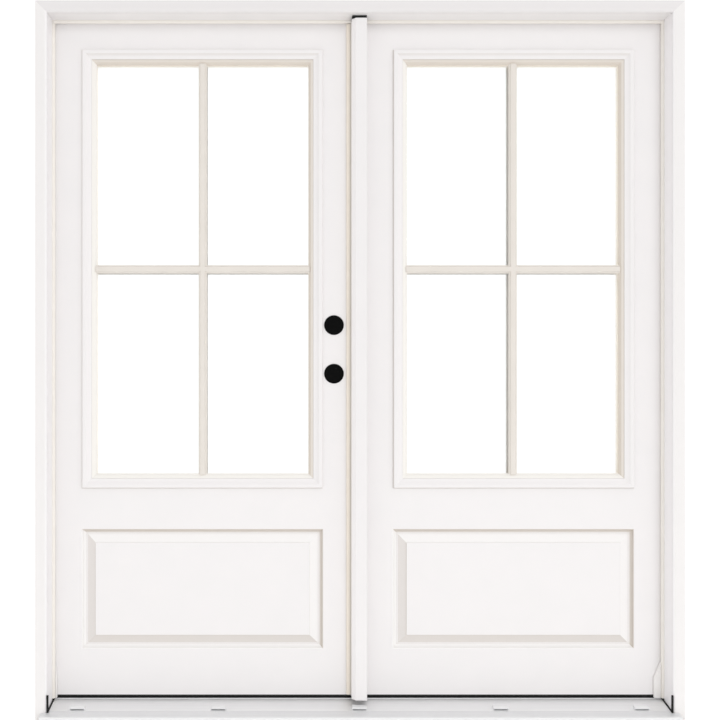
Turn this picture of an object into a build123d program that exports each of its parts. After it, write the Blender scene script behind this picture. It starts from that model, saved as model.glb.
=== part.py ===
from build123d import *
import os
from math import cos, radians

os.makedirs("parts", exist_ok=True)

# A pair of inward opening french doors in their frame, all sizes in millimetres.
# X runs to the right seen from outdoors, Y runs indoors, Z runs up.
# The origin is under the middle of the sill, on the plane of the frame's outdoor face.

# Overall size of the unit
unit_width = 1816.0
unit_height = 2019.0
jamb_depth = 116.0

# Section of the frame members
jamb_thickness = 31.75
rabbet_depth = 12.7
bead_radius = 8.0
quirk_width = 1.8
quirk_depth = 1.8
seal_space = 12.5
kerf_width = 3.0
kerf_depth = 10.0
kerf_inset = 6.0
seal_inset = 1.0
seal_overlap = 7.3
seal_round = 4.1
seal_bow = 0.6

# Leaves
leaf_thickness = 44.45
skin = 2.0
hinge_gap = 3.2
head_gap = 3.2
lock_gap = 4.2
leaf_bottom = 52.0
stile_width = 38.0
top_rail_height = 38.0
bottom_rail_height = 50.0
lock_block_width = 98.0
lock_block_height = 420.0

# Glazed light of each leaf
lite_margin = 92.575
lite_above_bottom = 594.0
lite_below_top = 90.75
lite_border = 36.5
lite_lap = 15.0
lite_rise = 8.0
lite_web = 6.0
lite_play = 1.0
glass_unit_thickness = 25.4
pane = 3.2
glass_edge_inset = 24.0
spacer_width = 8.0
glazing_gap = 1.3
glazing_tape_inset = 2.0
glazing_tape_set_back = 0.5
bar_width = 24.0
bar_height = 8.8
bar_top_width = 13.0
bar_foot = 2.0

# Raised panel pressed into both skins
panel_margin = 91.575
panel_height = 344.0
panel_above_bottom = 132.0
panel_border = 44.0
panel_depth = 8.5

# Lock bores of the leaf that opens first
backset = 60.325
bore_radius = 27.0
latch_bore_radius = 12.7
handle_height = 923.0
bore_spacing = 139.7
cover_radius = 28.3
cover_thickness = 1.8
cover_edge = 0.6

# Astragal between the leaves
stem_thickness = 13.0
post_left = 20.5
post_right = 22.0
post_front = 22.0
post_chamfer = 11.0
post_edge = 1.5
post_wall = 2.5
post_end_gap = 8.0
post_bottom = 54.0
foam_thickness = 8.9
foam_reach = 13.0
foam_round = 3.6
foam_end_inset = 1.0
strike_bore_depth = 24.0

# Bolts that hold the second leaf
bolt_radius = 4.0
bolt_length = 230.0
bolt_recess = 1.0
bolt_travel = 16.0
bolt_setback = 22.0
bolt_end_room = 2.0
tab_height = 26.0
tab_width = 7.0
tab_from_end = 150.0
tab_inset = 0.6
strike_plate_length = 52.0
strike_plate_width = 20.0
strike_plate_thickness = 1.5

# Hinges
hinge_height = 101.6
plate_thickness = 2.2
plate_width = 32.0
plate_screw_stagger = 12.8
knuckle_radius = 6.35
knuckle_count = 5
knuckle_gap = 0.4
pin_radius = 3.0
pin_head_radius = 4.8
pin_head_height = 2.4
hinge_axis_offset = 7.0
top_hinge_drop = 178.0
bottom_hinge_rise = 279.0

# Sill
nose_reach = 22.0
nose_wall = 2.0
nose_foot = 3.0
horn_inset = 16.0
deck_back = 72.0
deck_back_height = 41.5
deck_front_height = 23.6
deck_wall = 2.0
deck_lip = 1.0
groove_place = 8.0
rib_pitch = 3.4
rib_groove = 1.5
rib_depth = 0.8
cap_bottom = 28.0
cap_top = 44.0
cap_edge = 2.5
sweep_plate = 2.5
fin_thickness = 2.4
fin_count = 3
sweep_inset = 1.0
gasket_thickness = 5.0
gasket_stand = 1.5
gasket_leg = 4.5
gasket_top = 76.0

# Weep covers on the sill
weep_count = 5
weep_from_stop = 82.25
weep_width = 41.0
weep_back = 28.0
weep_length = 15.0
weep_height = 7.0
weep_wall = 1.2
weep_edge = 1.8
weep_mouth = 3.0
weep_slot_length = 28.0
weep_slot_width = 5.0

# Corner pads beside the jamb seals
pad_height = 105.0
pad_taper = 45.0
right_pad_reach = 20.0
left_pad_reach = 5.0
pad_thickness = 8.9
head_pad_inset = 0.5
head_pad_set_back = 2.0

# Screws
screw_radius = 2.2
screw_head_radius = 4.2
screw_head_height = 2.0
hinge_screw_length = 15.0
lite_screw_length = 28.0
frame_screw_length = 60.0
frame_screw_radius = 2.4
frame_screw_head_radius = 4.6
frame_screw_front = 35.0
frame_screw_rear = 29.0
screws_per_plate = 3
lite_screws_per_side = 3
lite_screws_per_end = 2

# Clearances
seal_clearance = 0.3
seat_clearance = 0.3
sliding_clearance = 0.15
strike_clearance = 0.6
pin_clearance = 0.06
screw_clearance = 0.05

# Places worked out from the sizes above
half_width = unit_width / 2
rabbet_thickness = jamb_thickness - rabbet_depth
opening_half = half_width - rabbet_thickness
stop_half = half_width - jamb_thickness
leaf_back = jamb_depth
leaf_front = leaf_back - leaf_thickness
stop_back = leaf_front - seal_space
leaf_width = (2 * opening_half - 2 * hinge_gap - lock_gap - stem_thickness) / 2
leaf_top = unit_height - rabbet_thickness - head_gap
leaf_height = leaf_top - leaf_bottom
leaf_middle = (leaf_top + leaf_bottom) / 2
lock_edge = opening_half - hinge_gap - leaf_width
leaf_centre = lock_edge + leaf_width / 2
lite_width = leaf_width - 2 * lite_margin
lite_height = leaf_height - lite_above_bottom - lite_below_top
lite_bottom = leaf_bottom + lite_above_bottom
lite_middle = lite_bottom + lite_height / 2
panel_width = leaf_width - 2 * panel_margin
panel_bottom = leaf_bottom + panel_above_bottom
panel_middle = panel_bottom + panel_height / 2
mid_depth = (leaf_front + leaf_back) / 2
handle_bore = leaf_bottom + handle_height
bore_heights = (handle_bore, handle_bore + bore_spacing)
bore_middle = handle_bore + bore_spacing / 2
bore_x = lock_edge + backset
axis_x = half_width - rabbet_thickness - hinge_gap / 2
axis_y = jamb_depth + hinge_axis_offset
hinge_middles = (
    leaf_bottom + bottom_hinge_rise,
    (leaf_bottom + bottom_hinge_rise + leaf_top - top_hinge_drop) / 2,
    leaf_top - top_hinge_drop,
)
sides = (("left", -1), ("right", 1))
faces = (("outer", -1), ("inner", 1))
low_end = (Align.CENTER, Align.CENTER, Align.MIN)


def save(built, name):
    built.part.label = name
    export_step(built.part, f"parts/{name}.step")


def upright(y):
    """Plane facing outdoors at depth y, with its own x to the right and y up."""
    return Plane.XZ.offset(-y)


def round_stock(spots, direction, radius, length, mode=Mode.ADD):
    """Cylinders that start at the spots and run along one direction."""
    with Locations([Plane(origin=spot, z_dir=direction) for spot in spots]):
        Cylinder(radius, length, align=low_end, mode=mode)


def screw_stock(spots, direction, radius, head_radius, length, extra=0.0, mode=Mode.ADD):
    """Countersunk screws, or with extra their holes, from the spots along one direction."""
    with Locations([Plane(origin=spot, z_dir=direction) for spot in spots]):
        Cone(head_radius + extra, radius + extra, screw_head_height, align=low_end, mode=mode)
        Cylinder(radius + extra, length + extra, align=low_end, mode=mode)


def mitre_plane(side):
    """Plane of the mitre at a top corner, with its front towards the head."""
    return Plane(origin=(side * half_width, 0, unit_height), z_dir=(-side, 0, 1))


# Frame members: the head and both jambs share one section and meet in mitres

def frame_section(plane, place):
    """Section of a frame member; place turns inward distance and depth to sketch points."""
    bow = bead_radius * (1 - cos(radians(45)))
    edge = jamb_thickness
    kerf_start = rabbet_thickness + kerf_inset
    with BuildSketch(plane) as section:
        with BuildLine():
            Polyline(
                place(edge, bead_radius),
                place(edge - quirk_depth, bead_radius),
                place(edge - quirk_depth, bead_radius + quirk_width),
                place(edge, bead_radius + quirk_width),
                place(edge, stop_back),
                place(kerf_start + kerf_width, stop_back),
                place(kerf_start + kerf_width, stop_back - kerf_depth),
                place(kerf_start, stop_back - kerf_depth),
                place(kerf_start, stop_back),
                place(rabbet_thickness, stop_back),
                place(rabbet_thickness, jamb_depth),
                place(0, jamb_depth),
                place(0, 0),
                place(edge - bead_radius, 0),
            )
            ThreePointArc(
                place(edge - bead_radius, 0),
                place(edge - bow, bow),
                place(edge, bead_radius),
            )
        make_face()
    return section.sketch


def hinge_screw_spots(side, edge_x):
    """Screw spots of the three hinges on a plate whose face lies at edge_x."""
    step = hinge_height / (screws_per_plate + 0.5)
    middle = (screws_per_plate - 1) / 2
    plate_middle = jamb_depth - plate_width / 2
    return [
        (side * edge_x, plate_middle + plate_screw_stagger / 2 * (-1) ** row, z + (row - middle) * step)
        for z in hinge_middles
        for row in range(screws_per_plate)
    ]


def cut_plate_seats(side, edge_x, direction):
    """Mortises for the three hinge plates in the edge at edge_x, cut along direction."""
    with BuildSketch(Plane(origin=(side * edge_x, 0, 0), x_dir=(0, 1, 0), z_dir=(direction, 0, 0))) as seats:
        up = seats.workplanes[0].y_dir.Z
        for z in hinge_middles:
            with Locations((jamb_depth - plate_width / 2, up * z)):
                Rectangle(plate_width + 2 * sliding_clearance, hinge_height + 2 * sliding_clearance)
    extrude(seats.sketch, amount=plate_thickness, mode=Mode.SUBTRACT)


frame_screw_depths = (frame_screw_front, jamb_depth - frame_screw_rear)
sill_screw_spots = [(y, cap_bottom / 2) for y in frame_screw_depths]
head_screw_spots = [(y, unit_height - rabbet_thickness / 2) for y in frame_screw_depths]


def frame_screw_starts(side):
    return [(side * half_width, y, z) for y, z in sill_screw_spots + head_screw_spots]


for name, side in sides:
    jamb_profile = frame_section(Plane.XY, lambda u, v: (side * (half_width - u), v))
    with BuildPart() as jamb:
        extrude(jamb_profile, amount=unit_height)
        split(bisect_by=mitre_plane(side), keep=Keep.BOTTOM)
        cut_plate_seats(side, opening_half, side)
        round_stock(
            hinge_screw_spots(side, opening_half),
            (side, 0, 0),
            screw_radius + screw_clearance,
            hinge_screw_length + screw_clearance,
            Mode.SUBTRACT,
        )
        screw_stock(
            frame_screw_starts(side),
            (-side, 0, 0),
            frame_screw_radius,
            frame_screw_head_radius,
            frame_screw_length,
            screw_clearance,
            Mode.SUBTRACT,
        )
    save(jamb, f"{name}_jamb")

stem_right = lock_edge
stem_left = lock_edge - stem_thickness
bolt_x = (stem_left + stem_right) / 2
bolt_y = leaf_front + bolt_setback
head_ceiling = unit_height - rabbet_thickness


def cut_strike_seat(level, way):
    """Mortise for a strike plate in a face at one level, and the bolt's hole behind it."""
    with BuildSketch(Plane.XY.offset(level)) as seat:
        with Locations((bolt_x, bolt_y)):
            Rectangle(
                strike_plate_length + 2 * sliding_clearance,
                strike_plate_width + 2 * sliding_clearance,
            )
    extrude(seat.sketch, amount=way * strike_plate_thickness, mode=Mode.SUBTRACT)
    hole_radius = bolt_radius + strike_clearance
    hole_depth = bolt_travel - bolt_recess
    round_stock([(bolt_x, bolt_y, level)], (0, 0, way), hole_radius, hole_depth, Mode.SUBTRACT)


head_profile = frame_section(Plane.YZ, lambda u, v: (v, unit_height - u))
with BuildPart() as head_jamb:
    extrude(head_profile, amount=half_width, both=True)
    for name, side in sides:
        split(bisect_by=mitre_plane(side), keep=Keep.TOP)
        screw_stock(
            frame_screw_starts(side),
            (-side, 0, 0),
            frame_screw_radius,
            frame_screw_head_radius,
            frame_screw_length,
            screw_clearance,
            Mode.SUBTRACT,
        )
    cut_strike_seat(head_ceiling, 1)
save(head_jamb, "head_jamb")

# Foam seals pushed into the kerfs of the frame, bulb towards the leaves

seal_bulb = seal_space - 2 * seal_clearance
seal_reach = jamb_thickness + seal_overlap
seal_start = cap_top + seal_inset


def seal_section(plane, place):
    """Bulb with a rounded free end, and the fin that holds it in the kerf."""
    near = rabbet_thickness + seal_inset
    fin_near = rabbet_thickness + kerf_inset + seal_clearance
    fin_far = rabbet_thickness + kerf_inset + kerf_width - seal_clearance
    front = stop_back + seal_clearance
    back = front + seal_bulb
    with BuildSketch(plane) as section:
        with BuildLine():
            Polyline(
                place(seal_reach - seal_round, back),
                place(near, back),
                place(near, front),
                place(fin_near, front),
                place(fin_near, front - kerf_depth),
                place(fin_far, front - kerf_depth),
                place(fin_far, front),
                place(jamb_thickness, front),
            )
            ThreePointArc(
                place(jamb_thickness, front),
                place(seal_reach - seal_bow, (front + back) / 2),
                place(seal_reach - seal_round, back),
            )
        make_face()
    return section.sketch


jamb_bulb = seal_section(Plane.XY.offset(seal_start), lambda u, v: (half_width - u, v))
with BuildPart() as jamb_seals:
    extrude(jamb_bulb, amount=unit_height)
    split(bisect_by=mitre_plane(1), keep=Keep.BOTTOM)
    mirror(about=Plane.YZ)
save(jamb_seals, "jamb_seals")

head_bulb = seal_section(Plane.YZ, lambda u, v: (v, unit_height - u))
with BuildPart() as head_seal:
    extrude(head_bulb, amount=half_width, both=True)
    for name, side in sides:
        split(bisect_by=mitre_plane(side), keep=Keep.TOP)
save(head_seal, "head_seal")

# Wedge pads that close the bottom corners beside the jamb seals
with BuildPart() as corner_pads:
    for side, reach in ((-1, left_pad_reach), (1, right_pad_reach)):
        near = half_width - seal_reach - seal_clearance
        with BuildSketch(upright(leaf_front - seal_clearance)):
            with BuildLine():
                Polyline(
                    (side * near, seal_start),
                    (side * (near - reach), seal_start),
                    (side * (near - reach), cap_top + pad_height - pad_taper),
                    (side * near, cap_top + pad_height),
                    close=True,
                )
            make_face()
        extrude(amount=pad_thickness)
save(corner_pads, "corner_pads")

# Sill: a composite base, a ribbed aluminium deck over it and a cap under the leaves

deck_slope = (deck_back_height - deck_front_height) / (deck_back + nose_reach)


def deck_height(y):
    return deck_back_height - (deck_back - y) * deck_slope


def deck_outline():
    """Top of the deck from its back lip to its nose, then back along its underside."""
    lip_top = deck_back_height + deck_lip
    points = [(deck_back, lip_top), (deck_back - deck_wall, lip_top)]
    points.append((deck_back - deck_wall, deck_height(deck_back - deck_wall)))
    rib_count = int((groove_place + nose_reach - nose_wall) / rib_pitch)
    for rib in range(rib_count):
        start = groove_place - rib * rib_pitch
        end = start - rib_groove
        points += [(start, deck_height(start)), (start, deck_height(start) - rib_depth)]
        points += [(end, deck_height(end) - rib_depth), (end, deck_height(end))]
    points.append((-nose_reach + nose_wall, deck_height(-nose_reach + nose_wall)))
    nose_top = deck_front_height - nose_wall
    points.append((-nose_reach, nose_top))
    for line in range(int((nose_top - nose_foot) / rib_pitch) - 1):
        start = nose_top - (line + 1) * rib_pitch + rib_groove
        end = start - rib_groove
        points += [(-nose_reach, start), (-nose_reach + rib_depth, start)]
        points += [(-nose_reach + rib_depth, end), (-nose_reach, end)]
    points += [(-nose_reach, nose_foot), (-nose_reach + nose_wall, nose_foot)]
    points.append((-nose_reach + nose_wall, deck_height(-nose_reach + nose_wall) - deck_wall))
    points.append((deck_back, deck_height(deck_back) - deck_wall))
    return points


base_outline = [
    (-nose_reach + nose_wall, 0),
    (jamb_depth, 0),
    (jamb_depth, cap_bottom),
    (deck_back, cap_bottom),
    (deck_back, deck_height(deck_back) - deck_wall),
    (-nose_reach + nose_wall, deck_height(-nose_reach + nose_wall) - deck_wall),
]


def sill_shape(outline, half_length):
    """Outline run between the stops, and past them in front of the jambs' face."""
    with BuildSketch(Plane.YZ) as shape:
        with BuildLine():
            Polyline(*outline, close=True)
        make_face()
    extrude(shape.sketch, amount=half_length, both=True)
    with BuildSketch(Plane.YZ) as front_part:
        add(shape.sketch_local)
        with Locations((jamb_depth - seat_clearance, 0)):
            Rectangle(2 * jamb_depth, unit_height, mode=Mode.SUBTRACT)
    extrude(front_part.sketch, amount=half_width - horn_inset, both=True)


weep_pitch = 2 * (stop_half - weep_from_stop) / (weep_count - 1)
weep_places = [(i - (weep_count - 1) / 2) * weep_pitch for i in range(weep_count)]

with BuildPart() as sill_deck:
    sill_shape(deck_outline(), stop_half - gasket_thickness)
    for x in weep_places:
        with BuildSketch(Plane.XY):
            with Locations((x, weep_back - weep_length / 2)):
                Rectangle(weep_slot_length, weep_slot_width)
        extrude(amount=deck_back_height, mode=Mode.SUBTRACT)
save(sill_deck, "sill_deck")

with BuildPart() as sill_base:
    sill_shape(base_outline, stop_half)
    with BuildSketch(Plane.YZ) as rear:
        with BuildLine():
            Polyline(
                (stop_back, 0),
                (jamb_depth, 0),
                (jamb_depth, cap_bottom),
                (deck_back, cap_bottom),
                (deck_back, deck_height(stop_back) - deck_wall),
                (stop_back, deck_height(stop_back) - deck_wall),
                close=True,
            )
        make_face()
    extrude(amount=opening_half, both=True)
    for name, side in sides:
        screw_stock(
            frame_screw_starts(side),
            (-side, 0, 0),
            frame_screw_radius,
            frame_screw_head_radius,
            frame_screw_length,
            screw_clearance,
            Mode.SUBTRACT,
        )
save(sill_base, "sill_base")

with BuildPart() as threshold_cap:
    with BuildSketch(Plane.YZ):
        with BuildLine():
            Polyline(
                (deck_back + seat_clearance, cap_bottom),
                (jamb_depth, cap_bottom),
                (jamb_depth, cap_top - cap_edge),
                (jamb_depth - cap_edge, cap_top),
                (deck_back + seat_clearance, cap_top),
                close=True,
            )
        make_face()
    extrude(amount=opening_half, both=True)
    cut_strike_seat(cap_top, -1)
save(threshold_cap, "threshold_cap")

# Foam gaskets between the deck's ends and the jambs, turned up at the jambs' outdoor corner
with BuildPart() as sill_gaskets:
    for name, side in sides:
        with BuildSketch(Plane.YZ.offset(side * (stop_half - gasket_thickness / 2))):
            with BuildLine():
                Polyline(
                    (seat_clearance, deck_height(seat_clearance) - deck_wall),
                    (deck_back, deck_height(deck_back) - deck_wall),
                    (deck_back, deck_height(deck_back) + gasket_stand),
                    (gasket_leg, deck_height(gasket_leg) + gasket_stand),
                    (gasket_leg, gasket_top),
                    (seat_clearance, gasket_top),
                    close=True,
                )
            make_face()
        extrude(amount=gasket_thickness / 2, both=True)
save(sill_gaskets, "sill_gaskets")

# Hooded covers over the weep slots of the deck
with BuildPart() as weep_covers:
    for x in weep_places:
        front = weep_back - weep_length
        with BuildSketch(Plane.YZ.offset(x)):
            with BuildLine():
                Polyline(
                    (weep_back, deck_height(weep_back)),
                    (weep_back, deck_height(weep_back) + weep_height - weep_edge),
                    (weep_back - weep_edge, deck_height(weep_back) + weep_height),
                    (front + weep_edge, deck_height(front) + weep_height),
                    (front, deck_height(front) + weep_height - weep_edge),
                    (front, deck_height(front)),
                    close=True,
                )
            make_face()
        extrude(amount=weep_width / 2, both=True)
        roof = weep_height - weep_edge - weep_wall
        with BuildSketch(Plane.YZ.offset(x)):
            with BuildLine():
                Polyline(
                    (weep_back - weep_wall, deck_height(weep_back)),
                    (weep_back - weep_wall, deck_height(weep_back) + roof),
                    (front + weep_wall, deck_height(front) + roof),
                    (front + weep_wall, deck_height(front) + weep_mouth),
                    (front - weep_wall, deck_height(front) + weep_mouth),
                    (front - weep_wall, 0),
                    (weep_back - weep_wall, 0),
                    close=True,
                )
            make_face()
        extrude(amount=weep_width / 2 - weep_wall, both=True, mode=Mode.SUBTRACT)
save(weep_covers, "weep_covers")

# Pad that closes the space between the astragal's post and the head
post_top = unit_height - jamb_thickness - post_end_gap
with BuildPart() as head_pad:
    with BuildSketch(Plane.XY.offset(post_top + seat_clearance)):
        with Locations(((post_right - post_left) / 2, (post_front + head_pad_set_back + stop_back) / 2)):
            Rectangle(post_left + post_right - 2 * head_pad_inset, stop_back - post_front - head_pad_set_back)
    extrude(amount=post_end_gap - seat_clearance)
save(head_pad, "head_pad")

# Strike plates of the bolts, let into the head and the cap
with BuildPart() as bolt_strikes:
    for low in (head_ceiling, cap_top - strike_plate_thickness):
        with BuildSketch(Plane.XY.offset(low)):
            with Locations((bolt_x, bolt_y)):
                RectangleRounded(strike_plate_length, strike_plate_width, strike_plate_width / 5)
                Circle(bolt_radius + strike_clearance, mode=Mode.SUBTRACT)
        extrude(amount=strike_plate_thickness)
save(bolt_strikes, "bolt_strikes")

with BuildPart() as frame_screws:
    for name, side in sides:
        screw_stock(
            frame_screw_starts(side),
            (-side, 0, 0),
            frame_screw_radius,
            frame_screw_head_radius,
            frame_screw_length,
        )
save(frame_screws, "frame_screws")

# Hinges: three to a leaf, with the knuckles indoors

segment = hinge_height / knuckle_count


def hinge_halves(side, inner_face, outer_face, first):
    """Plates between two x distances, with every second knuckle counted from first."""
    plate_x = side * (inner_face + outer_face) / 2
    for z in hinge_middles:
        low = z - hinge_height / 2
        with BuildSketch(Plane.XY.offset(low)) as plate:
            with Locations((plate_x, jamb_depth - plate_width / 2)):
                Rectangle(outer_face - inner_face, plate_width)
        extrude(plate.sketch, amount=hinge_height)
        for number in range(first, knuckle_count, 2):
            with BuildSketch(Plane.XY.offset(low + number * segment + knuckle_gap / 2)) as knuckle:
                with Locations((plate_x, (jamb_depth + axis_y) / 2)):
                    Rectangle(outer_face - inner_face, axis_y - jamb_depth)
                with Locations((side * axis_x, axis_y)):
                    Circle(knuckle_radius)
                    Circle(pin_radius + pin_clearance, mode=Mode.SUBTRACT)
            extrude(knuckle.sketch, amount=segment - knuckle_gap)


leaf_edge = opening_half - hinge_gap

for name, side in sides:
    with BuildPart() as jamb_plates:
        hinge_halves(side, opening_half, opening_half + plate_thickness, 0)
        screw_stock(
            hinge_screw_spots(side, opening_half),
            (side, 0, 0),
            screw_radius,
            screw_head_radius,
            hinge_screw_length,
            screw_clearance,
            Mode.SUBTRACT,
        )
    save(jamb_plates, f"{name}_jamb_hinge_plates")

    with BuildPart() as leaf_plates:
        hinge_halves(side, leaf_edge - plate_thickness, leaf_edge, 1)
        screw_stock(
            hinge_screw_spots(side, leaf_edge),
            (-side, 0, 0),
            screw_radius,
            screw_head_radius,
            hinge_screw_length,
            screw_clearance,
            Mode.SUBTRACT,
        )
    save(leaf_plates, f"{name}_leaf_hinge_plates")

    with BuildPart() as leaf_hinge_screws:
        screw_stock(
            hinge_screw_spots(side, leaf_edge),
            (-side, 0, 0),
            screw_radius,
            screw_head_radius,
            hinge_screw_length,
        )
    save(leaf_hinge_screws, f"{name}_leaf_hinge_screws")

with BuildPart() as jamb_hinge_screws:
    for name, side in sides:
        screw_stock(
            hinge_screw_spots(side, opening_half),
            (side, 0, 0),
            screw_radius,
            screw_head_radius,
            hinge_screw_length,
        )
save(jamb_hinge_screws, "jamb_hinge_screws")

with BuildPart() as hinge_pins:
    for name, side in sides:
        for z in hinge_middles:
            low = (side * axis_x, axis_y, z - hinge_height / 2)
            high = (side * axis_x, axis_y, z + hinge_height / 2)
            round_stock([low], (0, 0, 1), pin_radius, hinge_height)
            with Locations(high):
                Cone(pin_head_radius, pin_head_radius * 0.6, pin_head_height, align=low_end)
save(hinge_pins, "hinge_pins")

# Leaves: two pressed skins glued over stiles, rails and a foam core

cut_width = lite_width - 2 * lite_lap
cut_height = lite_height - 2 * lite_lap
inner_thickness = leaf_thickness - 2 * skin
web_face = lite_web + lite_lap + lite_play
glass_front = mid_depth - glass_unit_thickness / 2
glass_set_back = glass_front - leaf_front
lip_back = glass_set_back - glazing_gap


def ring_plane(x, y, low, out):
    """Section plane at the middle of a ring's bottom side, y of it pointing out."""
    return Plane(origin=(x, y, low), x_dir=(0, 0, 1), z_dir=(-out, 0, 0))


def ring_path(x, y, low, width, height, out):
    """Rectangle that starts and ends at the middle of its bottom side."""
    reach = -out * width / 2
    with BuildLine() as path:
        Polyline(
            (x, y, low),
            (x + reach, y, low),
            (x + reach, y, low + height),
            (x - reach, y, low + height),
            (x - reach, y, low),
            (x, y, low),
        )
    return path.wire()


def panel_curve(drop):
    """Moulding of the raised panel from its outer edge to its field."""
    depth = panel_depth
    border = panel_border
    return [
        Polyline((0, -drop), (border * 0.05, -depth * 0.12 - drop)),
        ThreePointArc(
            (border * 0.05, -depth * 0.12 - drop),
            (border * 0.12, -depth * 0.72 - drop),
            (border * 0.28, -depth - drop),
        ),
        Polyline(
            (border * 0.28, -depth - drop),
            (border * 0.36, -depth - drop),
            (border * 0.88, -depth * 0.28 - drop),
            (border * 0.9, 0 - drop),
            (border, -drop),
        ),
    ]


def panel_section(x, y, out):
    with BuildSketch(ring_plane(x, y, panel_bottom, out)) as section:
        with BuildLine():
            panel_curve(0)
            panel_curve(skin)
            Line((0, 0), (0, -skin))
            Line((panel_border, 0), (panel_border, -skin))
        make_face()
    return section.sketch


def lite_section(x, y, out):
    """Half of the frame that clamps the glass, from its outer edge to its lip."""
    border = lite_border
    rise = lite_rise
    with BuildSketch(ring_plane(x, y, lite_bottom, out)) as section:
        with BuildLine():
            Polyline((0, 0), (0, rise * 0.5))
            ThreePointArc((0, rise * 0.5), (rise * 0.17, rise * 0.86), (rise * 0.55, rise))
            Polyline((rise * 0.55, rise), (border * 0.32, rise * 0.94))
            ThreePointArc(
                (border * 0.32, rise * 0.94),
                (border * 0.52, rise * 0.42),
                (border * 0.74, rise * 0.2),
            )
            Polyline(
                (border * 0.74, rise * 0.2),
                (border * 0.76, -rise * 0.1),
                (border * 0.94, -rise * 0.35),
                (border, -rise * 0.6),
                (border, -lip_back),
                (web_face, -lip_back),
                (web_face, -leaf_thickness / 2),
                (web_face - lite_web, -leaf_thickness / 2),
                (web_face - lite_web, 0),
                (0, 0),
            )
        make_face()
    return section.sketch


lite_screw_face = leaf_back + lite_rise * 0.4


def lite_screw_spots(x):
    """Screw spots on the indoor half, in the middle of its web."""
    inset = web_face - lite_web / 2
    half = lite_width / 2 - inset
    along = lite_height - 2 * inset
    spots = []
    for row in range(lite_screws_per_side):
        z = lite_bottom + inset + along * (row + 0.5) / lite_screws_per_side
        spots += [(x - half, z), (x + half, z)]
    for column in range(lite_screws_per_end):
        across = x - half + 2 * half * (column + 0.5) / lite_screws_per_end
        spots += [(across, lite_bottom + inset), (across, lite_bottom + lite_height - inset)]
    return [(across, lite_screw_face, z) for across, z in spots]


def bar_section(plane):
    """Glazing bar section, its base on the glass and its top away from it."""
    with BuildSketch(plane) as section:
        with BuildLine():
            Polyline(
                (-bar_width / 2, bar_foot),
                (-bar_width / 2, 0),
                (bar_width / 2, 0),
                (bar_width / 2, bar_foot),
            )
            ThreePointArc(
                (bar_width / 2, bar_foot),
                (bar_width * 0.38, bar_height * 0.45),
                (bar_top_width / 2, bar_height),
            )
            Line((bar_top_width / 2, bar_height), (-bar_top_width / 2, bar_height))
            ThreePointArc(
                (-bar_top_width / 2, bar_height),
                (-bar_width * 0.38, bar_height * 0.45),
                (-bar_width / 2, bar_foot),
            )
        make_face()
    return section.sketch


def leaf_outline_cut(x, width, height, z):
    """Slab of the leaf's inner thickness."""
    with BuildSketch(upright(leaf_back - skin)) as slab:
        with Locations((x, z)):
            Rectangle(width, height)
    extrude(slab.sketch, amount=inner_thickness)


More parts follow.
